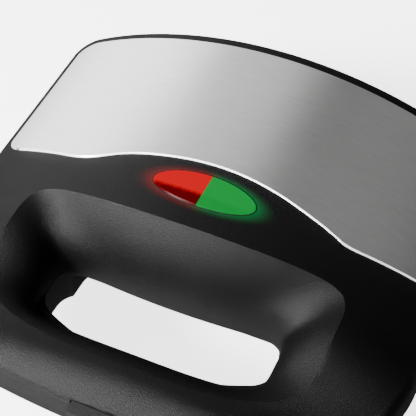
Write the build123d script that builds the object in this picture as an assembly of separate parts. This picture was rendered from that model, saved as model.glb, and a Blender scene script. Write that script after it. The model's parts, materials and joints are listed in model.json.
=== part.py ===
from build123d import *
from math import sqrt
import os

# Overall form of the closed appliance, in millimetres. Width is X, the handle points to -Y.
body_width = 236.0
half = body_width / 2
parting_z = 50.0
parting_gap = 0.3
lid_height = 44.0
crown_radius = 212.0
crown_grid_step = 11.0
body_back = 100.5
handle_front = -113.0
handle_side_inset = 10.0
handle_side = half - handle_side_inset
handle_side_y = -100.0
taper_start = -48.0
back_corner = 14.0
front_corner = 34.0
taper_corner = 60.0
wall = 3.0
handle_wall = 3.5

# Fall of the lid's top from the crown down to the grip bar.
fall_start = -28.0
fall_length = 60.0
fall_depth = 24.0
nose_start = -95.0
nose_reach = 18.0
nose_drop = 10.0
grip_radius = 600.0

# Finger opening: a D in plan that widens upwards, with a rolled rim.
finger_half = 57.0
finger_back = -42.0
finger_back_bow = 4.0
finger_side_y = -62.0
finger_front = -77.0
finger_corner = 12.0
finger_flare = 20.5
finger_front_flare = 8.0
finger_side_lean = 0.1
roll_radius = 14.0
edge_radius = 6.0
channel_lean = 8.0
room_lean = 5.5

# Base hull.
base_bottom = 5.0
base_inset = 1.0
arm_rib_x = half - 30.0
arm_rib = 1.0
base_draft = 11.0
base_corner = 16.0
base_front = -37.0
base_front_bow = 0.6
handle_joint_y = base_front - handle_wall
handle_screw_inset = 10.5
handle_screw_z = 41.0
cove_top = 45.0
cove_foot_y = -4.5
grip_under_z = 32.0
foot_round = 8.0
knee_round = 14.0
nose_round = 20.0

# Steel top plate and its recess.
plate_rim = 4.6
plate_half = half - plate_rim
plate_back = 92.0
plate_thick = 1.3
plate_proud = 0.4
plate_corner = 9.0
plate_side_y = 7.6
plate_gap = 0.35
plate_wave = [(-76, 0.9), (-65.5, -0.5), (-50, 4.5), (-30, 9.0), (0, 11.7)]
wave_end_slope = 0.19

# Lamp window.
lamp_y = -5.0
lens_half_long = 25.3
lens_half_wide = 9.9
lens_gap = 0.3
lens_split = 0.4
lens_proud = 0.8
lens_flange = 2.6
lens_flange_thick = 1.5
lens_bevel = 0.7
lamp_radius = 3.2
lamp_length = 15.0
lamp_offset = 13.0
holder_half_x = 36.0
holder_half_y = 14.0
holder_bottom = 75.0
holder_screw_x = 32.5

# Cooking plates.
cook_side_gap = 6.0
cook_half_x = half - cook_side_gap
cook_front = -33.5
cook_back = 95.0
cook_flange = 3.0
cook_corner = 13.0
cook_gap = 0.3
pocket_inner_x = 4.0
pocket_rim = 14.0
pocket_outer_x = cook_half_x - pocket_rim
pocket_front = -28.2
pocket_back = 90.5
pocket_depth = 11.0
pocket_slope = 8.0
pocket_wall = 2.6
pocket_corner = 12.0
ridge_half = 3.5
plate_screw_inset = 5.5
plate_screw_x = cook_half_x - plate_screw_inset
plate_screw_ys = (-20.0, 83.0)
boss_radius = 4.2
screw_radius = 1.5
screw_fit = 0.05
screw_head = 2.9
screw_head_tall = 1.6
head_clear = 0.2
head_room = 7.0
boss_drop = 22.0

# Heaters, their clamps and the reflector pans.
heater_radius = 3.2
heater_bend = 10.0
heater_half_x = 62.0
heater_front = 0.0
heater_back = 60.0
heater_end = 77.0
heater_gap_x = 12.0
pin_radius = 1.2
pin_length = 7.0
seat_gap = 0.1
clamp_half = 9.0
clamp_side_y = 44.0
clamp_front_x = 34.0
clamp_width = 10.0
clamp_sheet = 1.0
pan_sheet = 0.6
pan_side_gap = 16.5
pan_half_x = half - pan_side_gap
pan_front = -32.8
pan_back = 94.0
pan_depth = 19.6
pan_lean = 13.5
pan_floor_half = pan_half_x - pan_lean
pan_floor_front = -16.8
pan_floor_back = 82.5
arch_pan_lean = 21.5
arch_pan_half = pan_half_x - arch_pan_lean
arch_pan_rise = 11.0
arch_pan_front = -31.6

# Thermostats and thermal fuse.
stat_radius = 9.0
stat_height = 8.0
stat_y = 45.0
stat_tab = 15.0
fuse_radius = 2.5
fuse_length = 16.0
fuse_x = 36.0

# Bottom cover, feet, terminal block, cord gland.
cover_sheet = 2.0
cover_gap = 0.4
cover_lip = 4.0
cover_z = 5.2
foot_radius = 9.0
foot_inset = 36.0
foot_x = half - foot_inset
foot_ys = (18.0, 74.0)
foot_stem = 2.8
foot_stem_fit = 0.15
foot_head = 3.8
cover_screw_inset = 19.5
cover_screw_x = half - cover_screw_inset
cover_screw_ys = (24.0, 66.0)
cover_boss_top = 24.0
cover_boss_radius = 5.0
slot_count = 7
slot_pitch = 9.0
slot_width = 3.0
slot_length = 34.0
slot_y = 46.0
block_length = 40.0
block_depth = 16.0
block_height = 12.0
block_x = -30.0
block_y = 74.0
gland_x = 60.0
gland_z = 19.0
gland_face_y = 96.0
gland_back_y = 86.5
gland_boss = 11.0
gland_lip = 7.6
gland_lip_thick = 1.6
gland_flange = 9.0
gland_flange_thick = 2.5
gland_body = 6.5
gland_fit = 0.1
gland_bore = 3.6

# Hinge.
hinge_y = 107.0
hinge_z = 50.0
hinge_barrel = 6.0
hinge_pin = 2.0
hinge_fit = 0.05
ear_fit = 0.02
hinge_inset = 20.0
ear_width = 8.0
knuckle_width = 20.0
ear_outer = half - hinge_inset
knuckle_outer = ear_outer - ear_width
knuckle_inner = knuckle_outer - knuckle_width
ear_inner = knuckle_inner - ear_width
hinge_side_gap = 0.3
web_drop = 7.0

# Handle latch, which hangs before the base's nose, modelled at rest in its unhooked position.
latch_half = 14.0
latch_side_gap = 0.4
latch_pivot_y = -108.5
latch_pivot_z = 56.5
latch_barrel = 3.0
latch_pin = 1.3
latch_pin_fit = 0.06
latch_sheet = 2.8
latch_clear = 0.5
latch_foot_z = 35.3
latch_hook_top = 37.6
latch_hook_y = -105.6
latch_open_angle = 28.0
latch_pocket_back = -104.6
latch_pocket_wall = 3.0
latch_roof = 1.2
latch_ribs = 3
latch_rib = 0.6
latch_rib_pitch = 2.2

crown_z = parting_z + lid_height
lid_bottom = parting_z + parting_gap / 2
base_top = parting_z - parting_gap / 2
cook_lower_top = parting_z - cook_gap / 2
cook_upper_bottom = parting_z + cook_gap / 2
bulge_depth = pocket_depth + pocket_wall
cove_slope = (cove_top - base_bottom) / (cove_foot_y - base_front)
reach_up = crown_z + 20
handle_screw_x = half - handle_screw_inset


def block(x0, x1, y0, y1, z0, z1):
    """A box between two corners."""
    return Pos((x0 + x1) / 2, (y0 + y1) / 2, (z0 + z1) / 2) * Box(x1 - x0, y1 - y0, z1 - z0)


def post(radius, x, y, z0, z1):
    """An upright cylinder."""
    return Pos(x, y, (z0 + z1) / 2) * Cylinder(radius, z1 - z0)


def bar_x(radius, x0, x1, y, z):
    """A cylinder along X."""
    return Pos((x0 + x1) / 2, y, z) * Rot(0, 90, 0) * Cylinder(radius, x1 - x0)


def bar_y(radius, x, y0, y1, z):
    """A cylinder along Y."""
    return Pos(x, (y0 + y1) / 2, z) * Rot(90, 0, 0) * Cylinder(radius, y1 - y0)


def side_prism(points, x0, x1):
    """A closed polygon of (y, z) points carried along X from x0 to x1."""
    with BuildSketch(Plane.YZ.offset(x0)) as s:
        with BuildLine():
            Polyline(*points, close=True)
        make_face()
    return extrude(s.sketch, x1 - x0)


def arch_under(inset):
    """Everything under the lid's arch, lowered by inset towards the arch's centre line."""
    return bar_y(crown_radius - inset, 0, -200, 200, crown_z - crown_radius)


def smooth(t):
    """Smooth step from 0 to 1."""
    t = max(0.0, min(1.0, t))
    return t * t * (3 - 2 * t)


def top_height(x, y):
    """Height of the lid's outer skin: an arch that falls and flattens towards the grip bar."""
    t = smooth((fall_start - y) / fall_length)
    nose = max(0.0, nose_start - y) / nose_reach
    radius = crown_radius + (grip_radius - crown_radius) * t
    arch = radius - sqrt(radius * radius - x * x)
    return crown_z - fall_depth * t - nose_drop * nose * nose - arch


def top_mass():
    """A solid under the lid's outer skin, larger than the plan outline."""
    reach = half + crown_grid_step / 2
    columns = round(2 * reach / crown_grid_step)
    y_low = handle_front - 8
    y_high = body_back + 8
    rows = round((y_high - y_low) / crown_grid_step * 2)
    grid = []
    for i in range(columns + 1):
        x = -reach + 2 * reach * i / columns
        line = []
        for j in range(rows + 1):
            y = y_low + (y_high - y_low) * j / rows
            line.append(Vector(x, y, top_height(x, y)))
        grid.append(line)
    skin = Face.make_surface_from_array_of_points(grid, tol=0.01)
    return extrude(skin, lid_height + 20, dir=(0, 0, -1))


def outline(inset=0.0, back_round=back_corner):
    """Plan outline of the lid and its loop handle, drawn in by inset."""
    side = half - inset
    back = body_back - inset
    nose = handle_front + inset
    shoulder = handle_side - inset
    shoulder_y = handle_side_y + inset
    with BuildSketch() as s:
        with BuildLine():
            Line((-side, taper_start), (-side, back))
            Line((-side, back), (side, back))
            Line((side, back), (side, taper_start))
            Line((side, taper_start), (shoulder, shoulder_y))
            ThreePointArc((shoulder, shoulder_y), (0, nose), (-shoulder, shoulder_y))
            Line((-shoulder, shoulder_y), (-side, taper_start))
        make_face()
        fillet(s.vertices().sort_by(Axis.Y)[-2:], back_round)
        fillet(s.vertices().sort_by(Axis.Y)[:2], front_corner - inset)
        fillet(s.vertices().filter_by(lambda v: abs(v.Y - taper_start) < 1), taper_corner)
    return s.sketch


def outline_prism(inset, z0, z1):
    """The plan outline, drawn in by inset, carried from z0 to z1."""
    return extrude(Pos(0, 0, z0) * outline(inset, back_corner - inset), z1 - z0)


def finger_outline(grow, back, bow, z):
    """The finger opening's D at height z, with its sides moved out by grow and its back bowed."""
    side = finger_half + grow
    front = finger_front - grow * finger_front_flare / finger_flare
    side_back = back + bow
    side_front = finger_side_y - grow * finger_side_lean
    with BuildSketch(Plane.XY.offset(z)) as s:
        with BuildLine():
            ThreePointArc((-side, side_back), (0, back), (side, side_back))
            Line((side, side_back), (side, side_front))
            ThreePointArc((side, side_front), (0, front), (-side, side_front))
            Line((-side, side_front), (-side, side_back))
        make_face()
        fillet(s.vertices().sort_by(Axis.Y)[-2:], finger_corner)
        fillet(s.vertices().sort_by(Axis.Y)[:2], finger_corner)
    return s.sketch


def finger_funnel(extra, lean):
    """The lid's finger opening as a solid, widened all round by extra, and by lean more at its top."""
    low = offset(finger_outline(0, finger_back, finger_back_bow, lid_bottom - 1), extra)
    high = offset(finger_outline(finger_flare, finger_back, finger_back_bow, crown_z + 1), extra + lean)
    return loft([low, high], ruled=True)


def between(edges, z0, z1):
    """Edges that lie wholly between two heights."""
    return [e for e in edges if z0 < min(v.Z for v in e.vertices()) and max(v.Z for v in e.vertices()) < z1]


def finger_rim(edges):
    """Edges round the finger opening."""
    near = [e for e in edges if abs(e.position_at(0.5).X) < half - 28]
    return [e for e in near if handle_front + 12 < e.position_at(0.5).Y < fall_start + 10]


def latch_pocket(z0, z1, grow):
    """The notch in the handle's nose in which the latch swings, grown by its wall."""
    side = latch_half + latch_side_gap + grow
    return block(-side, side, handle_front - 20, latch_pocket_back + grow, z0, z1)


def lens_ellipse(grow, z):
    """The lamp window's ellipse, grown all round."""
    return Pos(0, lamp_y, z) * Ellipse(lens_half_long + grow, lens_half_wide + grow)


def plate_outline(grow):
    """Plan of the steel top plate, grown all round: rounded corners and a waved front edge."""
    side = plate_half + grow
    back = plate_back + grow
    corner_y = plate_side_y - grow
    left = [(x, y - grow) for x, y in plate_wave]
    right = [(-x, y) for x, y in reversed(left[:-1])]
    with BuildSketch() as s:
        with BuildLine():
            Spline(*(left + right), tangents=[(1, -wave_end_slope), (1, wave_end_slope)])
            Line(right[-1], (side, corner_y))
            Line((side, corner_y), (side, back))
            Line((side, back), (-side, back))
            Line((-side, back), (-side, corner_y))
            Line((-side, corner_y), left[0])
        make_face()
        fillet(s.vertices().filter_by(lambda v: abs(abs(v.X) - side) < 0.01), plate_corner + grow)
    return s.sketch


def knuckle(x0, x1, z0, z1, back_y, hole):
    """One hinge knuckle: a barrel with a web to the wall behind it."""
    web = block(x0, x1, back_y, hinge_y, z0, z1)
    return web + bar_x(hinge_barrel, x0, x1, hinge_y, hinge_z) - bar_x(hole, x0 - 1, x1 + 1, hinge_y, hinge_z)


def make_lid_housing():
    mass = top_mass()
    shell = mass & outline_prism(0, lid_bottom, reach_up)
    shell = shell - finger_funnel(0, 0)
    shell = fillet(finger_rim(between(shell.edges(), parting_z + 3, reach_up)), roll_radius)
    outer = [e for e in between(shell.edges(), parting_z + 2, reach_up) if e not in finger_rim(shell.edges())]
    shell = fillet(outer, edge_radius)
    skin = shell
    # the cavity over the cooking plate, and the hollow of the loop handle
    room = block(-half + wall, half - wall, finger_back + wall, body_back - wall, 0, reach_up)
    room = fillet(room.edges().filter_by(Axis.Z), back_corner - wall)
    shell = shell - ((room & arch_under(wall)) - finger_funnel(wall, room_lean))
    hollow = Pos(0, 0, -handle_wall) * mass & outline_prism(handle_wall, 0, reach_up)
    hollow = hollow - finger_funnel(handle_wall, channel_lean)
    hollow = hollow - block(-half, half, finger_back, body_back + 20, 0, reach_up)
    hollow = hollow - latch_pocket(0, reach_up, latch_pocket_wall)
    shell = shell - hollow
    shell = shell - latch_pocket(0, latch_pivot_z + latch_barrel + latch_roof, 0)
    pin_hole = latch_half + latch_side_gap + latch_pocket_wall - 0.5
    shell = shell - bar_x(latch_pin + 0.02, -pin_hole, pin_hole, latch_pivot_y, latch_pivot_z)
    # ribs across the hollow arms
    for x in (-arm_rib_x, arm_rib_x):
        rib = block(x - arm_rib, x + arm_rib, finger_back - 30, finger_back + 1, lid_bottom, reach_up) & skin
        shell = shell + rib
    # recess of the steel plate
    recess = extrude(plate_outline(plate_gap), reach_up) - arch_under(plate_thick - plate_proud)
    shell = shell - recess
    # lamp window
    shell = shell - extrude(lens_ellipse(lens_gap, crown_z - 12), 40)
    # bosses for the cooking plate and for the lamp holder
    flange_back = cook_upper_bottom + cook_flange
    for x in (-plate_screw_x, plate_screw_x):
        for y in plate_screw_ys:
            pillar = post(boss_radius, x, y, flange_back, reach_up) & skin & arch_under(wall - 1)
            shell = shell + pillar - post(screw_radius + screw_fit, x, y, flange_back - 1, flange_back + 6)
    for x in (-holder_screw_x, holder_screw_x):
        top = crown_z - 4
        pillar = post(3.2, x, lamp_y, holder_top() + 0.1, crown_z) & arch_under(wall - 1)
        shell = shell + pillar - post(screw_radius + screw_fit, x, lamp_y, holder_top() - 1, top)
    # hinge knuckles
    for s in (-1, 1):
        x0, x1 = sorted((s * (knuckle_inner + hinge_side_gap), s * (knuckle_outer - hinge_side_gap)))
        ear = knuckle(x0, x1, lid_bottom, hinge_z + web_drop, body_back - wall / 2, hinge_pin + hinge_fit)
        shell = shell + ear
    return shell


def holder_top():
    """Height of the flat ears of the lamp holder."""
    return crown_z - wall - lens_flange_thick - 4


def make_steel_plate():
    """The arched sheet let into the lid's top."""
    sheet = extrude(plate_outline(0), reach_up) & arch_under(-plate_proud)
    return sheet - arch_under(plate_thick - plate_proud - 0.02)


def make_lens(side):
    """One half of the lamp window, with a flange under the lid's skin."""
    window = extrude(lens_ellipse(0, crown_z - 12), 40) & arch_under(-lens_proud)
    window = window - arch_under(wall + 0.1)
    window = chamfer(window.edges().sort_by(Axis.Z)[-1], lens_bevel)
    flange = extrude(lens_ellipse(lens_flange, crown_z - 12), 40) & arch_under(wall + 0.1)
    flange = flange - arch_under(wall + 0.1 + lens_flange_thick)
    both = window + flange
    x0, x1 = sorted((side * lens_split / 2, side * 40))
    return both & block(x0, x1, lamp_y - 20, lamp_y + 20, 0, reach_up)


def make_lamp_holder():
    """Tray under the window, with a cell for each lamp and two screw ears."""
    top = arch_under(wall + 0.2 + lens_flange_thick)
    cell_x = lens_half_long + lens_flange
    tray = block(-cell_x, cell_x, lamp_y - holder_half_y, lamp_y + holder_half_y, holder_bottom, reach_up) & top
    for s in (-1, 1):
        x0, x1 = sorted((s * 1.2, s * (cell_x - 2)))
        tray = tray - block(x0, x1, lamp_y - 9, lamp_y + 9, holder_bottom + 2, reach_up)
        ear_x0, ear_x1 = sorted((s * (cell_x - 0.5), s * holder_half_x))
        ear = block(ear_x0, ear_x1, lamp_y - 5, lamp_y + 5, holder_top() - 2.5, holder_top())
        tray = tray + ear - post(screw_radius + 0.2, s * holder_screw_x, lamp_y, 60, reach_up)
    return tray


def make_lamp(side):
    """A neon lamp: a glass tube with a pinched tip and two leads."""
    z = holder_bottom + 2.1 + lamp_radius
    x0 = side * lamp_offset - lamp_length / 2
    x1 = side * lamp_offset + lamp_length / 2
    tube = bar_x(lamp_radius, x0, x1 - 1, lamp_y, z)
    cone = Cone(lamp_radius, 1.0, 2, align=(Align.CENTER, Align.CENTER, Align.MIN))
    tip = Pos(x1 - 1, lamp_y, z) * Rot(0, 90, 0) * cone
    leads = [bar_x(0.4, x0 - 2, x0 + 1, lamp_y + d, z) for d in (-1.4, 1.4)]
    return tube + tip + leads[0] + leads[1]


def pocket_triangle(side, upper, grow, z):
    """One sandwich pocket: half of a square cut along its diagonal."""
    x0, x1 = pocket_inner_x, pocket_outer_x
    y0, y1 = pocket_front, pocket_back
    corners = [(x1, y1), (x0, y1), (x1, y0)] if upper else [(x0, y0), (x1, y0), (x0, y1)]
    run = sqrt((x1 - x0) ** 2 + (y1 - y0) ** 2)
    nx, ny = (y1 - y0) / run, (x1 - x0) / run
    s = ridge_half if upper else -ridge_half
    moved = []
    for x, y in corners:
        on_diagonal = corners.index((x, y)) > 0
        if on_diagonal and x == (x0 if upper else x1):
            moved.append((x + s / nx, y))
        elif on_diagonal:
            moved.append((x, y + s / ny))
        else:
            moved.append((x, y))
    with BuildSketch(Plane.XY.offset(z)) as sk:
        with BuildLine():
            Polyline(*[(side * x, y) for x, y in moved], close=True)
        make_face()
        fillet(sk.vertices(), pocket_corner)
    return sk.sketch if grow == 0 else offset(sk.sketch, grow)


def make_cooking_plate(rim_z, direction):
    """A cast plate: flange at rim_z, pockets sunk along direction (-1 down, +1 up)."""
    z0, z1 = sorted((rim_z, rim_z + direction * cook_flange))
    plate = block(-cook_half_x, cook_half_x, cook_front, cook_back, z0, z1)
    plate = fillet(plate.edges().filter_by(Axis.Z), cook_corner)
    for side in (-1, 1):
        for upper in (False, True):
            low = pocket_triangle(side, upper, pocket_wall, rim_z + direction * 0.5)
            deep = pocket_triangle(side, upper, pocket_wall - pocket_slope, rim_z + direction * bulge_depth)
            plate = plate + loft([low, deep], ruled=True)
    for side in (-1, 1):
        for upper in (False, True):
            mouth = pocket_triangle(side, upper, 0, rim_z)
            floor = pocket_triangle(side, upper, -pocket_slope, rim_z + direction * pocket_depth)
            plate = plate - loft([mouth, floor], ruled=True)
    for x in (-plate_screw_x, plate_screw_x):
        for y in plate_screw_ys:
            head = sorted((rim_z - direction, rim_z + direction * (screw_head_tall + 0.1)))
            plate = plate - post(screw_head + head_clear, x, y, head[0], head[1])
            plate = plate - post(screw_radius + 0.2, x, y, z0 - 1, z1 + 1)
    return plate


def make_plate_screws(rim_z, direction):
    """Four pan head screws through the plate's flange into the housing's bosses."""
    screws = []
    for x in (-plate_screw_x, plate_screw_x):
        for y in plate_screw_ys:
            top = rim_z + direction * 0.1
            under = rim_z + direction * (screw_head_tall + 0.1)
            tip = rim_z + direction * (cook_flange + 5)
            head = post(screw_head, x, y, *sorted((top, under)))
            slot = block(x - 2.2, x + 2.2, y - 0.4, y + 0.4, *sorted((top - direction, top + direction * 0.8)))
            screws.append((head - slot + post(screw_radius, x, y, *sorted((under, tip)))).solid())
    return Compound(screws)


def heater_z(rim_z, direction):
    """Height of the heater rod's centre line on the back of the pockets."""
    return rim_z + direction * (bulge_depth + seat_gap + heater_radius)


def make_heater(rim_z, direction):
    """A sheathed heating rod bent into a loop under the four pockets, with its two cold pins."""
    z = heater_z(rim_z, direction)
    points = []
    for s in (-1, 1):
        leg = [(s * heater_gap_x, heater_end), (s * heater_gap_x, heater_back)]
        leg += [(s * heater_half_x, heater_back), (s * heater_half_x, heater_front)]
        points += leg if s < 0 else leg[::-1]
    with BuildPart() as rod:
        with BuildLine() as path:
            FilletPolyline(*[(x, y, z) for x, y in points], radius=heater_bend)
        with BuildSketch(Plane(origin=path.line @ 0, z_dir=path.line % 0)):
            Circle(heater_radius)
        sweep()
    pins = [bar_y(pin_radius, s * heater_gap_x, heater_end - 1, heater_end + pin_length, z) for s in (-1, 1)]
    return rod.part + pins[0] + pins[1]


def make_heater_clamps(rim_z, direction):
    """Saddles that hold the heater rod on the plate: one on each side leg, two on the front leg."""
    z = heater_z(rim_z, direction)
    seat = z - direction * (heater_radius + seat_gap)
    side = heater_radius + clamp_sheet
    gap = heater_radius + 0.05
    w = clamp_width / 2
    saddle = bar_y(side, 0, -w, w, z) + block(-side, side, -w, w, *sorted((seat, z)))
    saddle = saddle + block(-clamp_half, clamp_half, -w, w, *sorted((seat, seat + direction * clamp_sheet)))
    saddle = saddle - bar_y(gap, 0, -clamp_width, clamp_width, z)
    saddle = saddle - block(-gap, gap, -clamp_width, clamp_width, *sorted((seat - direction, z)))
    saddle = saddle & block(-20, 20, -20, 20, *sorted((seat, seat + direction * 30)))
    places = [Pos(s * heater_half_x, clamp_side_y, 0) for s in (-1, 1)]
    places += [Pos(s * clamp_front_x, heater_front, 0) * Rot(0, 0, 90) for s in (-1, 1)]
    return Compound([(place * saddle).solid() for place in places])


def rectangle(half_x, y0, y1, z):
    """A flat rectangle at height z."""
    return Pos(0, (y0 + y1) / 2, z) * Rectangle(2 * half_x, y1 - y0)


def rounded(half_x, y0, y1, z, corner):
    """A flat rectangle at height z with rounded corners."""
    return Pos(0, (y0 + y1) / 2, z) * RectangleRounded(2 * half_x, y1 - y0, corner)


def make_lower_pan():
    """Folded reflector under the lower heater, open upwards."""
    top = cook_lower_top - cook_flange - seat_gap
    low = top - pan_depth
    outer = loft([rectangle(pan_half_x, pan_front, pan_back, top),
                  rectangle(pan_floor_half, pan_floor_front, pan_floor_back, low)], ruled=True)
    t = pan_sheet
    inner = loft([rectangle(pan_half_x - t, pan_front + t, pan_back - t, top + 0.01),
                  rectangle(pan_floor_half - t, pan_floor_front + t, pan_floor_back - t, low + t)], ruled=True)
    return outer - inner


def make_upper_pan():
    """Folded reflector over the upper heater, flat on top, with sloped shoulders under the arch."""
    bottom = cook_upper_bottom + cook_flange + seat_gap
    top = bottom + pan_depth

    def hood(t, low):
        points = [(-pan_half_x + t, low), (-pan_half_x + t, top - arch_pan_rise - t)]
        points += [(-arch_pan_half + t / 2, top - t), (arch_pan_half - t / 2, top - t)]
        points += [(pan_half_x - t, top - arch_pan_rise - t), (pan_half_x - t, low)]
        with BuildSketch(Plane.XZ.offset(-pan_back + t)) as s:
            with BuildLine():
                Polyline(*points, close=True)
            make_face()
        return extrude(s.sketch, pan_back - arch_pan_front - 2 * t)

    return hood(0, bottom) - hood(pan_sheet, bottom - 1)


def pan_top():
    return cook_upper_bottom + cook_flange + seat_gap + pan_depth


def pan_bottom():
    return cook_lower_top - cook_flange - seat_gap - pan_depth


def make_thermostat(z, direction, x):
    """A disc thermostat on the reflector: body, two ears and two terminal blades."""
    body = post(stat_radius, x, stat_y, *sorted((z, z + direction * stat_height)))
    ears = block(x - stat_tab, x + stat_tab, stat_y - 3.5, stat_y + 3.5, *sorted((z, z + direction * 0.8)))
    unit = body + ears
    for s in (-1, 1):
        top = sorted((z + direction * (stat_height - 1), z + direction * (stat_height + 5)))
        unit = unit + block(x + s * 4 - 0.4, x + s * 4 + 0.4, stat_y - 3, stat_y + 3, *top)
    for s in (-1, 1):
        unit = unit - post(1.6, x + s * 12, stat_y, z - 3, z + 3)
    return unit


def make_thermal_fuse():
    """A one-shot thermal fuse held by its strap on the upper reflector."""
    z = pan_top() + 0.1
    centre = z + fuse_radius
    body = bar_x(fuse_radius, fuse_x - fuse_length / 2, fuse_x + fuse_length / 2, stat_y, centre)
    leads = bar_x(0.5, fuse_x - fuse_length, fuse_x + fuse_length, stat_y, centre)
    strap = bar_x(fuse_radius + 0.6, fuse_x - 3, fuse_x + 3, stat_y, centre)
    foot = block(fuse_x - 3, fuse_x + 3, stat_y - 8, stat_y + 8, z, z + 0.8)
    return body + leads + (strap & block(fuse_x - 9, fuse_x + 9, stat_y - 9, stat_y + 9, z, reach_up)) + foot


def base_side(grow):
    """The base's side profile in (y, z): flat bottom, coved front, and the grip's underside."""
    knee_y = cove_foot_y - (grip_under_z - 2 - base_bottom) / cove_slope
    points = [(body_back + 20, parting_z + 20), (body_back + 20, base_bottom), (cove_foot_y, base_bottom)]
    points += [(knee_y, grip_under_z - 2), (nose_start + 2, grip_under_z + 1)]
    points += [(handle_front - 1, grip_under_z + 10), (handle_front - 12, grip_under_z + 16)]
    points += [(handle_front - 12, parting_z + 20)]
    with BuildSketch(Plane.YZ.offset(-half - 10)) as s:
        with BuildLine():
            Polyline(*points, close=True)
        make_face()
        for y, radius in ((cove_foot_y, foot_round), (knee_y, knee_round), (nose_start + 2, nose_round)):
            fillet([v for v in s.vertices() if abs(v.X - y) < 0.1 and v.Y < parting_z], radius)
    return Pos(0, 0, grow) * extrude(s.sketch, body_width + 20)


def base_hull(inset, z_low, z_high):
    """The base's drafted walls: the lid's outline drawn in more towards the bottom."""
    span = parting_z - base_bottom
    low_inset = base_inset + inset + base_draft * (parting_z - z_low) / span
    high_inset = base_inset + inset + base_draft * (parting_z - z_high) / span
    low = Pos(0, 0, z_low) * outline(low_inset, base_corner - inset)
    high = Pos(0, 0, z_high) * outline(high_inset, base_corner - inset)
    return loft([low, high], ruled=True)


def make_base():
    """The base's tub and its loop handle, which bolts to the tub's front."""
    hull = base_hull(0, base_bottom, base_top)
    shell = hull & base_side(0)
    shell = shell - extrude(finger_outline(0, base_front, base_front_bow, 0), base_top + 5)
    cove = side_prism([(base_front - 6, cove_top), (base_front, cove_top),
                       (cove_foot_y, base_bottom), (cove_foot_y, 0), (base_front - 6, 0)],
                      -finger_half + 4, finger_half - 4)
    shell = shell - cove
    # cavity under the cooking plate
    step = wall * sqrt(1 + 1 / cove_slope ** 2)
    lip_top = cover_z + cover_sheet + 2
    room = side_prism([(base_front + wall, base_top + 5), (base_front + wall, cove_top),
                       (cove_foot_y + step - (lip_top - base_bottom) / cove_slope, lip_top),
                       (cove_foot_y + step + cover_lip, lip_top),
                       (cove_foot_y + step + cover_lip, base_bottom - 5), (body_back, base_bottom - 5),
                       (body_back, base_top + 5)], -half, half)
    draft = base_draft / (parting_z - base_bottom)
    side_high = half - base_inset - wall + draft * 5
    side_low = side_high - draft * (base_top + 10 - base_bottom)
    back_high = body_back - base_inset - wall + draft * 5
    back_low = back_high - draft * (base_top + 10 - base_bottom)
    walls = loft([rounded(side_low, -120, back_low, base_bottom - 5, base_corner - wall),
                  rounded(side_high, -120, back_high, base_top + 5, base_corner - wall)], ruled=True)
    shell = shell - (room & walls)
    # hollow of the handle loop, open upwards
    hollow = base_hull(handle_wall, base_bottom, base_top + 5) & base_side(handle_wall)
    ring = offset(finger_outline(0, base_front, base_front_bow, 0), handle_wall)
    hollow = hollow - extrude(ring, base_top + 10)
    hollow = hollow - block(-half, half, handle_joint_y - handle_wall, body_back + 20, 0, reach_up)
    shell = shell - hollow
    # ribs across the hollow arms
    for x in (-arm_rib_x, arm_rib_x):
        rib = block(x - arm_rib, x + arm_rib, base_front - 34, handle_joint_y, 0, base_top)
        shell = shell + (rib & hull & base_side(0))
    # bosses for the cooking plate and for the bottom cover
    flange_back = cook_lower_top - cook_flange
    solid_hull = hull & base_side(0)
    for x in (-plate_screw_x, plate_screw_x):
        for y in plate_screw_ys:
            pillar = post(boss_radius, x, y, flange_back - boss_drop, flange_back) & solid_hull
            shell = shell + pillar - post(screw_radius + screw_fit, x, y, flange_back - 6, flange_back + 1)
    cover_top = cover_z + cover_sheet
    for x in (-cover_screw_x, cover_screw_x):
        for y in cover_screw_ys:
            pillar = post(cover_boss_radius, x, y, cover_top, cover_boss_top)
            web_ends = sorted((x, half if x > 0 else -half))
            pillar = (pillar + block(*web_ends, y - 1.5, y + 1.5, cover_top, cover_boss_top)) & solid_hull
            shell = shell + pillar - post(screw_radius + screw_fit, x, y, cover_top - 1, cover_top + 7)
    # flat boss for the cord gland
    shell = shell + bar_y(gland_boss, gland_x, gland_back_y, gland_face_y, gland_z)
    shell = shell - bar_y(gland_body + gland_fit, gland_x, gland_back_y - 5, gland_face_y + 1, gland_z)
    # hinge ears
    for s in (-1, 1):
        for a, b in ((ear_inner, knuckle_inner), (knuckle_outer, ear_outer)):
            x0, x1 = sorted((s * a, s * b))
            wall_y = body_back - base_inset - wall / 2
            ear = knuckle(x0, x1, hinge_z - web_drop, base_top, wall_y, hinge_pin + ear_fit)
            shell = shell + ear
    # the handle's own part, and the holes of its two screws
    inside = base_front + wall
    for x in (-handle_screw_x, handle_screw_x):
        hole = bar_y(screw_radius + screw_fit, x, handle_joint_y - handle_wall - 1, inside + 1, handle_screw_z)
        shell = shell - hole
        shell = shell - bar_y(screw_head + head_clear, x, inside, inside + head_room, handle_screw_z)
    ahead = block(-half, half, handle_front - 20, handle_joint_y, 0, reach_up)
    return shell - ahead, shell & ahead


def make_handle_screws():
    """Two screws from inside the tub into the ends of the base's handle."""
    screws = []
    inside = base_front + wall
    for x in (-handle_screw_x, handle_screw_x):
        head = bar_y(screw_head, x, inside, inside + screw_head_tall, handle_screw_z)
        shank = bar_y(screw_radius, x, handle_joint_y - handle_wall, inside, handle_screw_z)
        screws.append((head + shank).solid())
    return Compound(screws)


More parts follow.
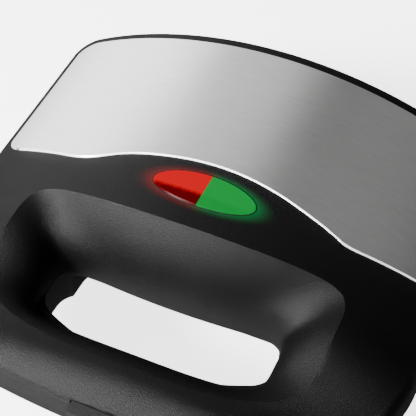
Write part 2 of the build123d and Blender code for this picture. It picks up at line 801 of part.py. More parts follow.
def make_bottom_cover():
    """Sheet that closes the base from below, with cooling slots."""
    draft = base_draft / (parting_z - base_bottom)
    side = half - base_inset - wall - draft * (parting_z - cover_z) - cover_gap
    front = cove_foot_y + wall * sqrt(1 + 1 / cove_slope ** 2) + cover_lip + cover_gap
    back = body_back - base_inset - wall - draft * (parting_z - cover_z) - cover_gap
    cover = block(-side, side, front, back, cover_z, cover_z + cover_sheet)
    cover = fillet(cover.edges().filter_by(Axis.Z).sort_by(Axis.Y)[-2:], base_corner - wall)
    for i in range(slot_count):
        x = (i - (slot_count - 1) / 2) * slot_pitch
        slot = Pos(x, slot_y, cover_z) * SlotOverall(slot_length, slot_width, rotation=90)
        cover = cover - extrude(slot, cover_sheet)
    for x in (-cover_screw_x, cover_screw_x):
        for y in cover_screw_ys:
            cover = cover - post(screw_radius + 0.2, x, y, 0, 20)
    for x in (-foot_x, foot_x):
        for y in foot_ys:
            cover = cover - post(foot_stem + foot_stem_fit, x, y, 0, 20)
    return cover


def make_cover_screws():
    """Four screws through the bottom cover into the base's bosses."""
    screws = []
    for x in (-cover_screw_x, cover_screw_x):
        for y in cover_screw_ys:
            head = post(screw_head, x, y, cover_z - screw_head_tall, cover_z)
            slot = block(x - 2.2, x + 2.2, y - 0.4, y + 0.4, 0, cover_z - screw_head_tall + 0.8)
            screws.append((head - slot + post(screw_radius, x, y, cover_z, cover_z + cover_sheet + 6)).solid())
    return Compound(screws)


def make_rubber_feet():
    """Four feet pushed through the bottom cover: pad, stem and barbed head."""
    feet = []
    top = cover_z + cover_sheet
    for x in (-foot_x, foot_x):
        for y in foot_ys:
            pad = post(foot_radius, x, y, 0, cover_z)
            pad = chamfer(pad.edges().sort_by(Axis.Z)[0], 1)
            cone = Cone(foot_head, foot_stem - 0.8, 3, align=(Align.CENTER, Align.CENTER, Align.MIN))
            head = Pos(x, y, top) * cone
            feet.append((pad + post(foot_stem, x, y, cover_z, top) + head).solid())
    return Compound(feet)


def make_terminal_block():
    """Screw terminal block on the bottom cover, with three wire ways."""
    z0 = cover_z + cover_sheet
    x0 = block_x - block_length / 2
    side = block_depth / 2
    body = block(x0, x0 + block_length, block_y - side, block_y + side, z0, z0 + block_height)
    for i in range(3):
        x = x0 + block_length * (i + 0.5) / 3
        body = body - bar_y(2.2, x, block_y - block_depth, block_y + block_depth, z0 + 4)
        body = body - post(2.4, x, block_y, z0 + 8, z0 + block_height + 1)
    for i in (1, 2):
        x = x0 + block_length * i / 3
        body = body - block(x - 0.8, x + 0.8, block_y - 20, block_y + 20, z0 + 8, z0 + block_height + 1)
    return body


def make_cord_gland():
    """Bush in the rear wall through which the mains lead passes."""
    inner = gland_back_y - gland_lip_thick
    gland = bar_y(gland_body, gland_x, inner, gland_face_y + 0.5, gland_z)
    gland = gland + bar_y(gland_flange, gland_x, gland_face_y, gland_face_y + gland_flange_thick, gland_z)
    gland = gland + bar_y(gland_lip, gland_x, inner, gland_back_y, gland_z)
    gland = gland - bar_y(gland_bore, gland_x, inner - 1, gland_face_y + 10, gland_z)
    return gland


def make_hinge_pin(side):
    """A steel pin through both ears and the lid's knuckle."""
    x0, x1 = sorted((side * ear_inner, side * ear_outer))
    return bar_x(hinge_pin, x0, x1, hinge_y, hinge_z)


def make_latch():
    """The clip on the grip's nose: barrel, plate, and hook under the base's nose, swung out by its open angle."""
    y, z = latch_pivot_y, latch_pivot_z
    back = handle_front - latch_clear
    face = back - latch_sheet
    section = [(y, z + latch_barrel), (y - 3.6, z + 1.8), (face, z - 2.4), (face, latch_foot_z + 3),
               (face + 2, latch_foot_z), (latch_hook_y, latch_foot_z), (latch_hook_y, latch_hook_top),
               (back + 0.8, latch_hook_top + 0.8), (back, latch_hook_top + 2.2), (back, z - 5),
               (y, z - latch_barrel)]
    clip = side_prism(section, -latch_half, latch_half) + bar_x(latch_barrel, -latch_half, latch_half, y, z)
    clip = clip - bar_x(latch_pin + latch_pin_fit, -latch_half - 1, latch_half + 1, y, z)
    # grip ribs across the plate's lower face
    for i in range(latch_ribs):
        low = latch_foot_z + 4.5 + i * latch_rib_pitch
        clip = clip + block(-latch_half + 3, latch_half - 3, face - latch_rib, face + 1, low, low + latch_rib)
    return Pos(0, y, z) * Rot(-latch_open_angle, 0, 0) * Pos(0, -y, -z) * clip


def make_latch_pin():
    """The latch's steel pin, held at both ends in the lid's handle."""
    end = latch_half + latch_side_gap + latch_pocket_wall - 0.6
    return bar_x(latch_pin, -end, end, latch_pivot_y, latch_pivot_z)


def make_holder_screws():
    """Two screws that hold the lamp holder up to the lid."""
    low = holder_top() - 2.5
    screws = []
    for x in (-holder_screw_x, holder_screw_x):
        head = post(screw_head, x, lamp_y, low - screw_head_tall, low)
        screws.append((head + post(screw_radius, x, lamp_y, low, low + 6)).solid())
    return Compound(screws)


def make_all():
    """Every node of the appliance, by name."""
    tub, handle = make_base()
    nodes = {
        "base_housing": tub,
        "base_handle": handle,
        "base_handle_screws": make_handle_screws(),
        "bottom_cover": make_bottom_cover(),
        "bottom_cover_screws": make_cover_screws(),
        "rubber_feet": make_rubber_feet(),
        "terminal_block": make_terminal_block(),
        "cord_gland": make_cord_gland(),
        "hinge_pin_left": make_hinge_pin(-1),
        "hinge_pin_right": make_hinge_pin(1),
        "lower_reflector_pan": make_lower_pan(),
        "lower_thermostat": make_thermostat(pan_bottom() - seat_gap, -1, 0),
        "lid_housing": make_lid_housing(),
        "steel_top_plate": make_steel_plate(),
        "red_lens": make_lens(-1),
        "green_lens": make_lens(1),
        "lamp_holder": make_lamp_holder(),
        "red_lamp": make_lamp(-1),
        "green_lamp": make_lamp(1),
        "lamp_holder_screws": make_holder_screws(),
        "upper_reflector_pan": make_upper_pan(),
        "upper_thermostat": make_thermostat(pan_top() + seat_gap, 1, 0),
        "thermal_fuse": make_thermal_fuse(),
        "handle_latch_pin": make_latch_pin(),
        "handle_latch": make_latch(),
    }
    for level, rim_z, direction in (("lower", cook_lower_top, -1), ("upper", cook_upper_bottom, 1)):
        nodes[level + "_cooking_plate"] = make_cooking_plate(rim_z, direction)
        nodes[level + "_plate_screws"] = make_plate_screws(rim_z, direction)
        nodes[level + "_heating_element"] = make_heater(rim_z, direction)
        nodes[level + "_heater_clamps"] = make_heater_clamps(rim_z, direction)
    return nodes


pieces = make_all()
boxes = [piece.bounding_box() for piece in pieces.values()]
front = min(box.min.Y for box in boxes)
rear = max(box.max.Y for box in boxes)
shift = -(front + rear) / 2
print("depth", round(rear - front, 2), "moved along Y by", round(shift, 3))
os.makedirs("parts", exist_ok=True)
for name, piece in pieces.items():
    export_step(Pos(0, shift, 0) * piece, "parts/" + name + ".step")
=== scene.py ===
# %% [markdown]
# # A sandwich maker, dressed for the camera
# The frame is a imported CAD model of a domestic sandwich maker: a black moulded
# base and lid, a brushed steel plate let into the lid, and a pair of indicator
# lenses. Its nodes already have their place and size. This lesson gives them
# their finishes, makes five finer pieces for the lid, and adds the floor, the
# light and the camera. The whole keeps the CAD's size.

# %% Load the frame
import json
import math

import bmesh
import bpy
import numpy as np
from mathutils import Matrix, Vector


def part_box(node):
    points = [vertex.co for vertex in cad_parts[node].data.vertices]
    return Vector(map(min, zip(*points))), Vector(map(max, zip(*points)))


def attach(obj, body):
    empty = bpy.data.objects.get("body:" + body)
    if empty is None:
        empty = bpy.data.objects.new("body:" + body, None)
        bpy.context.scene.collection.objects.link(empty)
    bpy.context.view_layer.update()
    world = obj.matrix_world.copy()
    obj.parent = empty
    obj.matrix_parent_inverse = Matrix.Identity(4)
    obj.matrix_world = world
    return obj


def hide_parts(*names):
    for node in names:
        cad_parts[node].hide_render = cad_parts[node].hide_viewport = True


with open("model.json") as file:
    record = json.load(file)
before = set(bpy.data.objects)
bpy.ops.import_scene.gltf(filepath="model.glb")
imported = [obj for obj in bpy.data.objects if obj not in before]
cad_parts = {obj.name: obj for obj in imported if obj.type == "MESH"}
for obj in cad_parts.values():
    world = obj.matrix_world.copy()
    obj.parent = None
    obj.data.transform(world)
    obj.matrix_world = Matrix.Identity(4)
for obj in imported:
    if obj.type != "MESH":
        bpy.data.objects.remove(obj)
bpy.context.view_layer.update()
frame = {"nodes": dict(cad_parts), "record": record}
nodes = frame["nodes"]

# %% [markdown]
# ## Landmarks
# The lens pair is the middle of the picture, so places on the lid are given
# from its centre. That centre and the lid's highest point are read from the
# frame. The pair is an oval, whose two half sizes are wanted for its glow.

# %% Landmarks
red_low, red_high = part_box("red_lens")
lens_y = (red_low.y + red_high.y) / 2
lens_half_length = 0.0255
lens_half_width = 0.0100
crown_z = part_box("lid_housing")[1].z
print("lens centre y:", round(lens_y, 5), "crown z:", round(crown_z, 5))

# %% [markdown]
# ## The camera
# The picture was taken from close by, above the front right corner of the lid.
# A camera could be placed by eye, but its place was worked out from the lens
# outline, the plate's edges and the finger opening, whose sizes are known. It
# looks at a point on the crown, at a turn of 24.5 degrees and 47.5 degrees up.

# %% Camera
turn = math.radians(24.54)
rise = math.radians(47.54)
distance = 0.7
focal_px = 1561.0
picture_px = 416.0
aim_right, aim_front = 0.00581, 0.00864
aim = np.array([aim_right, lens_y - aim_front, crown_z])
away = np.array([math.sin(turn) * math.cos(rise), -math.cos(turn) * math.cos(rise), math.sin(rise)])
camera_data = bpy.data.cameras.new("view_camera")
camera_data.sensor_width = 36.0
camera_data.lens = focal_px * camera_data.sensor_width / picture_px
camera_data.clip_start = 0.01
camera = bpy.data.objects.new("view_camera", camera_data)
bpy.context.scene.collection.objects.link(camera)
camera.location = aim + distance * away
camera.rotation_euler = (math.pi / 2 - rise, 0.0, turn)
bpy.context.scene.camera = camera
print("camera at", [round(float(v), 4) for v in camera.location], "lens", round(camera_data.lens, 1))

# %% [markdown]
# ## Arithmetic on a surface
# A finish is a sum: so much grain, so much gloss, so much colour. Wiring Math
# nodes by hand hides that sum, so one small class wraps a socket and lets it
# be added, multiplied and so on like a number, on either side of the sign. A
# second class starts a material and makes every other node from its type, its
# settings and its inputs.

# %% Field
class Field:
    """A value that varies over a surface: one output socket with the arithmetic of numbers."""

    def __init__(self, finish, socket):
        self.finish = finish
        self.socket = socket

    def __add__(self, other):
        return self.finish.math("ADD", self, other)

    def __radd__(self, other):
        return self.finish.math("ADD", other, self)

    def __sub__(self, other):
        return self.finish.math("SUBTRACT", self, other)

    def __rsub__(self, other):
        return self.finish.math("SUBTRACT", other, self)

    def __mul__(self, other):
        return self.finish.math("MULTIPLY", self, other)

    def __rmul__(self, other):
        return self.finish.math("MULTIPLY", other, self)

    def __truediv__(self, other):
        return self.finish.math("DIVIDE", self, other)

    def __rtruediv__(self, other):
        return self.finish.math("DIVIDE", other, self)

    def __pow__(self, other):
        return self.finish.math("POWER", self, other)

    def __rpow__(self, other):
        return self.finish.math("POWER", other, self)


print("Field is ready")


# %% Finish
class Finish:
    """One material: a Principled shader and the nodes that feed it."""

    def __init__(self, name):
        self.material = bpy.data.materials.new(name)
        self.material.use_nodes = True
        self.tree = self.material.node_tree
        self.shader = self.tree.nodes["Principled BSDF"]

    def node(self, kind, settings=None, inputs=None, output=0):
        """A node of that type. Settings are set first, then the sockets get their values or links."""
        made = self.tree.nodes.new(kind)
        for name, value in (settings or {}).items():
            setattr(made, name, value)
        for name, value in (inputs or {}).items():
            self.set(made.inputs[name], value)
        return Field(self, made.outputs[output])

    def set(self, socket, value):
        """Links a Field to a socket, or sets a plain value on it."""
        if isinstance(value, Field):
            self.tree.links.new(value.socket, socket)
        else:
            socket.default_value = value

    def math(self, operation, *terms):
        """A Math node on one to three numbers or Fields."""
        return self.node("ShaderNodeMath", {"operation": operation}, dict(enumerate(terms)))

    def place(self, scale=(1, 1, 1)):
        """The surface point in metres, times the scale."""
        point = self.node("ShaderNodeTexCoord", output="Object")
        return self.node("ShaderNodeMapping", {}, {"Vector": point, "Scale": scale})

    def axes(self, point):
        """The x and the y of a point."""
        x = self.node("ShaderNodeSeparateXYZ", {}, {"Vector": point})
        return x, Field(self, x.socket.node.outputs["Y"])

    def noise(self, vector, scale, detail=2.0, roughness=0.5):
        """Noise from 0 to 1 with that many waves to the metre of its vector."""
        return self.node("ShaderNodeTexNoise", {}, {"Vector": vector, "Scale": scale,
                                                    "Detail": detail, "Roughness": roughness})

    def climb(self, value, start, end, low=0.0):
        """Goes straight from low to 1 while the value goes from start to end, and is level outside."""
        return self.node("ShaderNodeMapRange", {"clamp": True},
                         {"Value": value, "From Min": start, "From Max": end, "To Min": low, "To Max": 1.0})

    def blend(self, factor, first, second):
        """The colour first where factor is 0 and second where it is 1."""
        return self.node("ShaderNodeMix", {"data_type": "RGBA"}, {0: factor, 6: first, 7: second}, 2)

    def bump(self, height, distance, strength=1.0):
        """A normal from a height field of 0 to 1 whose full step is distance metres."""
        return self.node("ShaderNodeBump", {}, {"Height": height, "Distance": distance, "Strength": strength})

    def feed(self, **values):
        """Sets the shader's sockets. An underscore in a name stands for a space."""
        for name, value in values.items():
            self.set(self.shader.inputs[name.replace("_", " ")], value)
        return self.material


def grey(value):
    """A plain grey colour."""
    return (value, value, value, 1.0)


print("Finish and grey are ready")

# %% [markdown]
# ## Black moulded plastic
# The housings come from a spark eroded mould, which leaves a fine even
# texture, about half a millimetre from grain to grain. The texture could be
# modelled, but it is far too fine: a bump from two sizes of noise gives the
# same scattered light. The two indicator lamps throw a faint red and green
# glow on the plastic round the lenses. The glow is strongest at the rim of the
# lens oval and fades with the distance outside it.

# %% Black plastic
glow_fade = 2.2
glow_power = 2.5
glow_strength = 0.20
glow_red, glow_green = (1.0, 0.02, 0.02, 1.0), (0.0, 0.85, 0.2, 1.0)
colour_border = 0.004
grain_waves, cloud_waves = 1900.0, 90.0
mould_relief = 0.0004
mould_specular = 0.13


def lamp_glow(finish, point):
    """The glow's colour: (1 - fade (r - 1))^power at oval radius r, red on the left, green on the right."""
    x, y = finish.axes(point)
    across = (y - lens_y) / lens_half_width
    along_lens = x / lens_half_length
    ring = (along_lens * along_lens + across * across) ** 0.5
    near = finish.math("MAXIMUM", 0.0, 1.0 - (ring - 1.0) * glow_fade)
    near = finish.math("MINIMUM", near, 1.0) ** glow_power
    side = finish.climb(x, -colour_border, colour_border)
    tint = finish.blend(side, glow_red, glow_green)
    return finish.blend(near, grey(0.0), tint)


def moulded_black(name, base, gloss, glow=False):
    """Black plastic with a fine moulded texture, and with the lamps' glow round the lenses if asked."""
    finish = Finish(name)
    point = finish.place()
    grain = finish.noise(point, scale=grain_waves, detail=3.0, roughness=0.65)
    cloud = finish.noise(point, scale=cloud_waves)
    height = grain * 0.9 + cloud * 0.1
    rough = gloss + (grain - 0.5) * 0.30 + (cloud - 0.5) * 0.06
    colour = finish.blend(grain, grey(base * 0.4), grey(base * 1.8))
    if glow:
        finish.feed(Emission_Color=lamp_glow(finish, point), Emission_Strength=glow_strength)
    return finish.feed(Base_Color=colour, Roughness=rough, Specular_IOR_Level=mould_specular,
                       Normal=finish.bump(height, distance=mould_relief, strength=0.9))


housing_black = moulded_black("housing_black", base=0.0015, gloss=0.37, glow=True)
base_black = moulded_black("base_black", base=0.0045, gloss=0.50)
seal_black = moulded_black("seal_black", base=0.004, gloss=0.60)
print("black plastics:", housing_black.name, base_black.name, seal_black.name)

# %% [markdown]
# ## Brushed steel
# The plate is stainless sheet brushed along its length, left to right. Each
# scratch is a fine groove, so light spreads across the scratches and not along
# them. The shader's own anisotropy would spread it evenly, with no scratches
# to see, so the grooves are drawn: noise stretched along X, fine and coarse,
# in the bump and the colour. Each scale is a count of waves to the metre along
# X, Y and Z. The sheet's slanted front edge is polished, not brushed.

# %% Steel plate
fine_grooves = (110.0, 2600.0, 110.0)
coarse_grooves = (9.0, 900.0, 20.0)
wide_bands = (6.0, 40.0, 6.0)
polish_marks = (60.0, 2600.0, 2600.0)
groove_depth, polish_depth = 0.00006, 0.00001
steel_roughness = 0.30
steel_dark, steel_light = (0.68, 0.68, 0.675, 1.0), (0.98, 0.98, 0.97, 1.0)


def brushed_steel(name):
    """Stainless sheet brushed along X."""
    finish = Finish(name)
    fine = finish.noise(finish.place(fine_grooves), scale=1.0, detail=3.0)
    coarse = finish.noise(finish.place(coarse_grooves), scale=1.0)
    cloud = finish.noise(finish.place(wide_bands), scale=1.0, detail=1.0)
    grooves = fine * 0.95 + coarse * 0.05
    rough = steel_roughness + (coarse - 0.5) * 0.05 + (cloud - 0.5) * 0.04
    colour = finish.blend(grooves, steel_dark, steel_light)
    return finish.feed(Base_Color=colour, Metallic=1.0, Roughness=rough,
                       Normal=finish.bump(grooves, distance=groove_depth, strength=0.9))


def polished_steel_and_highlight(name):
    """The sheet's slanted front edge, with faint marks of the polishing wheel; its near white, partly diffuse
    colour is in part a painted highlight.
    """
    finish = Finish(name)
    marks = finish.noise(finish.place(polish_marks), scale=1.0)
    # Near white and only partly metallic: in part a painted highlight that keeps the slant bright from every
    # side.
    return finish.feed(Base_Color=finish.blend(marks, grey(0.86), grey(0.96)), Metallic=0.4,
                       Roughness=steel_roughness + (marks - 0.5) * 0.10,
                       Normal=finish.bump(marks, distance=polish_depth, strength=0.4))


plate_steel = brushed_steel("plate_steel")
polished_edge_and_highlight = polished_steel_and_highlight("polished_edge_and_highlight")
print("steel:", plate_steel.name, polished_edge_and_highlight.name)

# %% [markdown]
# ## Indicator lenses
# Each lens is half of an oval of tinted clear plastic with a lamp under it. The
# lamps are lit, so a lens gives off its own colour. The red one is dark towards
# its front rim, where its lamp doesn't reach. A real clear body with a lamp
# inside would render slowly and look much the same, so the colour is given off
# by the surface. The plastic's own colour is kept very dark, because light from
# outside would wash the red out to orange.

# %% Lenses
lens_body_tint = 0.03
shade_start, shade_end = -0.0042, -0.0018
shade_unevenness = 0.0022
mottle_waves, spot_waves = 420.0, 150.0
lens_specular = 0.02


def lens_plastic(name, colour, shade, strength):
    """Tinted glossy plastic that gives off its own colour, less of it at the front rim by the shade given."""
    finish = Finish(name)
    point = finish.place()
    y = finish.axes(point)[1]
    mottle = finish.noise(point, scale=mottle_waves, detail=3.0, roughness=0.6)
    edge = y - lens_y + (mottle - 0.5) * shade_unevenness
    lit = finish.climb(edge, shade_start, shade_end, low=1.0 - shade)
    spot = finish.noise(point, scale=spot_waves)
    body = tuple(lens_body_tint * c for c in colour[:3]) + (1.0,)
    return finish.feed(Base_Color=body, Roughness=0.25 + spot * 0.08,
                       Specular_IOR_Level=lens_specular, Emission_Strength=strength,
                       Emission_Color=finish.blend(lit * (0.94 + spot * 0.12), grey(0.0), colour))


lens_red = lens_plastic("lens_red", (1.0, 0.0, 0.010, 1.0), shade=0.95, strength=0.76)
lens_green = lens_plastic("lens_green", (0.0, 0.37, 0.055, 1.0), shade=0.10, strength=0.90)
print("lenses:", lens_red.name, lens_green.name)

# %% [markdown]
# ## The smaller finishes
# The other nodes show when the lid is open or the part is turned over: coated
# cooking plates, plain aluminium, heater sheath, screws, rubber feet. They
# differ in colour, gloss and grain and in little else, so one function with
# those as its values makes them all.

# %% Coated plates, metals, rubber, white plastic and glass
def speckled(name, base, gloss, metal=0.0, scale=900.0, depth=0.00004, coat=0.0):
    """A plain finish with a fine uneven surface."""
    finish = Finish(name)
    point = finish.place()
    grain = finish.noise(point, scale, detail=3.0, roughness=0.55)
    cloud = finish.noise(point, scale / 25.0)
    dark = tuple(c * 0.82 for c in base) + (1.0,)
    light = tuple(min(1.0, c * 1.12) for c in base) + (1.0,)
    return finish.feed(Base_Color=finish.blend(cloud, dark, light), Metallic=metal,
                       Roughness=gloss + (grain - 0.5) * 0.12, Coat_Weight=coat,
                       Normal=finish.bump(grain, depth, strength=0.6))


nonstick = speckled("nonstick", (0.022, 0.022, 0.024), gloss=0.32, scale=1500.0, coat=0.15)
aluminium = speckled("aluminium", (0.70, 0.70, 0.71), gloss=0.36, metal=1.0)
sheath = speckled("sheath", (0.36, 0.35, 0.34), gloss=0.42, metal=1.0)
zinc = speckled("zinc", (0.55, 0.55, 0.52), gloss=0.30, metal=1.0)
rubber = speckled("rubber", (0.035, 0.035, 0.035), gloss=0.75, depth=0.00008)
white = speckled("white", (0.72, 0.71, 0.67), gloss=0.5)
lamp_glass = speckled("lamp_glass", (0.75, 0.72, 0.68), gloss=0.12)
print("smaller finishes:", [m.name for m in (nonstick, aluminium, sheath, zinc, rubber, white, lamp_glass)])

# %% [markdown]
# ## Every node gets its finish
# The nodes could be dressed one by one, but the record already names a material
# slot for each. A table from slot to finish does them all. The lid alone takes
# the black that glows, because the lenses are let into it.

# %% Give every node its finish
finishes = {"black_plastic": base_black, "brushed_steel": plate_steel, "red_lens": lens_red,
            "green_lens": lens_green, "nonstick": nonstick, "pan_aluminium": aluminium,
            "heater_sheath": sheath, "screw_steel": zinc, "foot_rubber": rubber,
            "white_plastic": white, "lamp_glass": lamp_glass}
for row in frame["record"]["subparts"]:
    name = row["node"]
    mesh = nodes[name].data
    mesh.materials.clear()
    mesh.materials.append(housing_black if name == "lid_housing" else finishes[row["material_slot"]])

# %% [markdown]
# ## The lid's outer surface as a formula
# Some of the next pieces lie on the lid, so its height is wanted at any point.
# It is an arch across the lid, which falls and flattens towards the grip bar.
# A ray could be cast at the lid for each point, but a formula is exact, and
# written for whole arrays it gives a grid of points in one call.

# %% Lid height
arch_radius = 0.212
grip_radius = 0.600
lens_to_axis = -0.005
fall_start, fall_length, fall_depth = 0.028, 0.060, 0.024
nose_start, nose_length, nose_depth = 0.095, 0.018, 0.010
parting_z, lid_rise = 0.050, 0.044
lid_crown = parting_z + lid_rise


def smooth_step(t):
    """0 below 0, 1 above 1, and 3 t^2 - 2 t^3 between."""
    t = np.clip(t, 0.0, 1.0)
    return t * t * (3.0 - 2.0 * t)


def lid_top(x, y):
    """Height: the crown less the fall, the nose's dip and the arch r - sqrt(r^2 - x^2), whose r grows."""
    y = y - lens_y + lens_to_axis
    t = smooth_step((-fall_start - y) / fall_length)
    nose = np.maximum(0.0, -nose_start - y) / nose_length
    radius = arch_radius + (grip_radius - arch_radius) * t
    return lid_crown - fall_depth * t - nose_depth * nose * nose - (radius - np.sqrt(radius * radius - x * x))


print("lid crown by formula:", lid_crown, "highest point of the CAD lid:", round(crown_z, 5))

# %% [markdown]
# ## From a grid to a piece
# Each new piece is a grid of points, worked out by a formula. Four helpers
# take it from there. The first joins the grid's cells into a mesh, the second
# merges points that meet and turns the faces outwards, the third closes the
# ends of a tube, and the last makes an object that rides on a body. Blender's
# own shapes could be bent into place instead, but then the formula would be
# spread over many steps.

# %% Grids to meshes
def grid_mesh(name, points, close_rows=True, close_columns=True):
    """A mesh from an array of points (columns, rows, 3): one quad for each cell, wrapped where asked."""
    columns, rows = points.shape[:2]
    i = np.arange(columns if close_columns else columns - 1)[:, None]
    j = np.arange(rows if close_rows else rows - 1)[None, :]
    i2 = (i + 1) % columns
    j2 = (j + 1) % rows
    quads = np.stack([i * rows + j, i2 * rows + j, i2 * rows + j2, i * rows + j2], axis=-1).reshape(-1, 4)
    mesh = bpy.data.meshes.new(name)
    mesh.from_pydata(points.reshape(-1, 3).tolist(), [], quads.tolist())
    mesh.polygons.foreach_set("use_smooth", np.ones(len(quads), bool))
    mesh.update()
    return mesh


def mended(source, mesh, merge=None, turn_out=True):
    """Writes the source into the mesh. Points nearer than merge are joined, and faces are turned outwards."""
    work = bmesh.new()
    work.from_mesh(source)
    if merge:
        bmesh.ops.remove_doubles(work, verts=work.verts, dist=merge)
    if turn_out:
        bmesh.ops.recalc_face_normals(work, faces=work.faces)
    work.to_mesh(mesh)
    work.free()
    mesh.update()
    return mesh


def capped(name, points):
    """A tube through rings of points, each end closed to its middle."""
    first = np.repeat(points[:1].mean(axis=1, keepdims=True), points.shape[1], axis=1)
    last = np.repeat(points[-1:].mean(axis=1, keepdims=True), points.shape[1], axis=1)
    mesh = grid_mesh(name, np.concatenate([first, points, last]), close_columns=False)
    return mended(mesh, mesh, merge=1e-8)


def add_piece(name, mesh, body, material):
    """Links a finished mesh as an object at the origin that rides on that body."""
    piece = bpy.data.objects.new(name, mesh)
    bpy.context.scene.collection.objects.link(piece)
    mesh.materials.clear()
    mesh.materials.append(material)
    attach(piece, body)
    return piece


print("grid_mesh, mended, capped and add_piece are ready")

# %% [markdown]
# ## The finger opening's wall
# Behind the fingers the lid turns down in one crisp crease, and then rolls over
# into an upright wall. On the real lid that crease runs all round the opening,
# level with the arch. The wall is a profile carried round a squared oval: at
# each direction it starts upright at the lid's underside, follows part of an
# ellipse up to the crease, and turns out onto the lid's top. A band of the same
# thickness closes it behind, so the piece is a ring with an inside and an
# outside, as a moulding has.
#
# The foot of the wall and the crease are two squared ovals about one middle.
# Their directions are crowded towards the left and right ends, where the turn
# is tightest. Each slope is the ellipse's angle in degrees, 0 where it is level
# and 90 where it is upright. The greater it is at the crease, the crisper the
# crease.

# %% Sizes of the opening
foot_side, foot_back, foot_bow, foot_front = 0.057, 0.015, 0.0036, 0.020
foot_powers = (7.0, 4.0)
crest_side, crest_back, crest_bow, crest_front = 0.080, 0.0296, 0.0046, 0.035
crest_powers = (7.0, 2.6)
axis_to_opening = 0.057
end_crowding = 0.42
wall_low_z = 0.05015
roll_low_z, back_roll_lift = 0.05415, 0.008
crest_slope, extra_back_slope, foot_slope = 14.0, 32.0, 86.0
lip_least, lip_most, front_lip_cut = 0.0018, 0.0122, 0.005
back_from, back_over = 0.35, 0.45
side_from, side_over = 0.15, 0.35
front_over = 0.6
opening_columns, opening_rows = 300, 30
oval_rounds = 12
print("opening:", round(2 * foot_side, 4), "m wide at its foot,", round(2 * crest_side, 4), "m at its crease")


# %% Profile of the opening
def squared_oval(side, back, bow, front, powers, c, s):
    """Point in direction (c, s) on |x/side|^n + |y/deep|^n = 1, whose back edge bows out with x squared.

    The bow depends on x, which is what is wanted, so the reach is worked out again until it settles.
    """
    deep = np.where(s > 0, back, front)
    power = np.where(s > 0, powers[0], powers[1])
    reach = ((np.abs(c) / side) ** power + (np.abs(s) / deep) ** power) ** (-1.0 / power)
    for _ in range(oval_rounds):
        bowed = np.where(s > 0, deep + bow * (reach * c / foot_side) ** 2, deep)
        reach = ((np.abs(c) / side) ** power + (np.abs(s) / bowed) ** power) ** (-1.0 / power)
    return reach * c, reach * s


def opening_profile(columns, rows):
    """For each direction: the foot, the way out, the roll's width, run, height and normal, and the lip.

    The roll is part of an ellipse. At angle a its run is width - R (sin a - sin a0) and its height is
    crest - D (cos a0 - cos a), where a0 is the angle at the crease, and R and D take it through the foot.
    """
    angle = np.linspace(0.0, 2.0 * np.pi, columns, endpoint=False) - np.pi / 2
    c, s = np.cos(angle), np.sin(angle) * end_crowding
    length = np.hypot(c, s)
    c, s = c / length, s / length
    foot_x, foot_y = squared_oval(foot_side, foot_back, foot_bow, foot_front, foot_powers, c, s)
    crest_x, crest_y = squared_oval(crest_side, crest_back, crest_bow, crest_front, crest_powers, c, s)
    middle = lens_y - lens_to_axis - axis_to_opening
    width = np.hypot(crest_x - foot_x, crest_y - foot_y)
    way = np.stack([(crest_x - foot_x) / width, (crest_y - foot_y) / width], axis=-1)
    foot = np.stack([foot_x, foot_y + middle], axis=-1)
    back = smooth_step((s - back_from) / back_over)
    at_crest = np.radians(crest_slope + extra_back_slope * back)
    at_foot = math.radians(foot_slope)
    foot_z = roll_low_z + back_roll_lift * back
    crest_z = lid_top(crest_x, crest_y + middle)
    t = np.linspace(0.0, 1.0, rows)[None, :]
    slope = at_foot + (at_crest[:, None] - at_foot) * t
    run_scale = (width / (np.sin(at_foot) - np.sin(at_crest)))[:, None]
    drop_scale = ((crest_z - foot_z) / (np.cos(at_crest) - np.cos(at_foot)))[:, None]
    run = width[:, None] - run_scale * (np.sin(slope) - np.sin(at_crest)[:, None])
    height = crest_z[:, None] - drop_scale * (np.cos(at_crest)[:, None] - np.cos(slope))
    normal = np.stack([drop_scale * np.sin(slope), -run_scale * np.cos(slope)], axis=-1)
    normal = normal / np.linalg.norm(normal, axis=-1, keepdims=True)
    side = np.where(s > 0, 1.0 - smooth_step((s - side_from) / side_over), 1.0)
    front_cut = front_lip_cut * smooth_step(-s / front_over)
    lip = lip_least + np.where(s > 0, lip_most * side, lip_most - front_cut)
    return foot, way, width, run, height, normal, lip


def along(foot, way, run, height):
    """Points foot + way * run at that height."""
    plan = foot[:, None, :] + way[:, None, :] * run[..., None]
    return np.concatenate([plan, height[..., None]], axis=-1)


print("squared_oval, opening_profile and along are ready")


# %% Opening wall
def opening_wall(thick=0.0016, lip_thick=0.0012, lip_lift=0.00003, lift_over=0.0005, lip_points=9):
    """The ring: wall up to the crease, lip out over the lid's top, and the same way back at its thickness."""
    foot, way, width, run, height, normal, lip = opening_profile(opening_columns, opening_rows)
    out = np.linspace(0.0, 1.0, lip_points)[None, :] * lip[:, None]
    lip_run = width[:, None] + out
    plan = foot[:, None, :] + way[:, None, :] * lip_run[..., None]
    lip_top = lid_top(plan[..., 0], plan[..., 1]) + lip_lift * np.minimum(1.0, out / lift_over)
    back_run = run + normal[..., 0] * thick
    back_height = height + normal[..., 1] * thick
    low = np.full_like(run[:, :1], wall_low_z)
    loop_run = np.concatenate([run[:, :1], run, lip_run[:, 1:], lip_run[:, :0:-1], back_run[:, ::-1],
                               back_run[:, :1]], axis=1)
    loop_height = np.concatenate([low, height, lip_top[:, 1:], lip_top[:, :0:-1] - lip_thick,
                                  back_height[:, ::-1], low], axis=1)
    mesh = grid_mesh("opening_wall", along(foot, way, loop_run, loop_height))
    mended(mesh, mesh)
    mesh.set_sharp_from_angle(angle=math.radians(24.0))
    return mesh


wall_piece = add_piece("opening_wall", opening_wall(), "lid", housing_black)
print("opening wall faces:", len(wall_piece.data.polygons))

# %% [markdown]
# ## A lid with room for that wall
# The CAD's lid has a plain round roll where the crease should be. Its own mesh
# is left alone. A copy is cut by a solid of the opening's form, a hair larger
# than the ring above, and the ring covers the cut. The copy then stands for
# the lid.
#
# A cut leaves long thin faces on the lid's top, and normals averaged from them
# shade in streaks. The height formula knows the true normal at every point, so
# the corners on the top are given that.

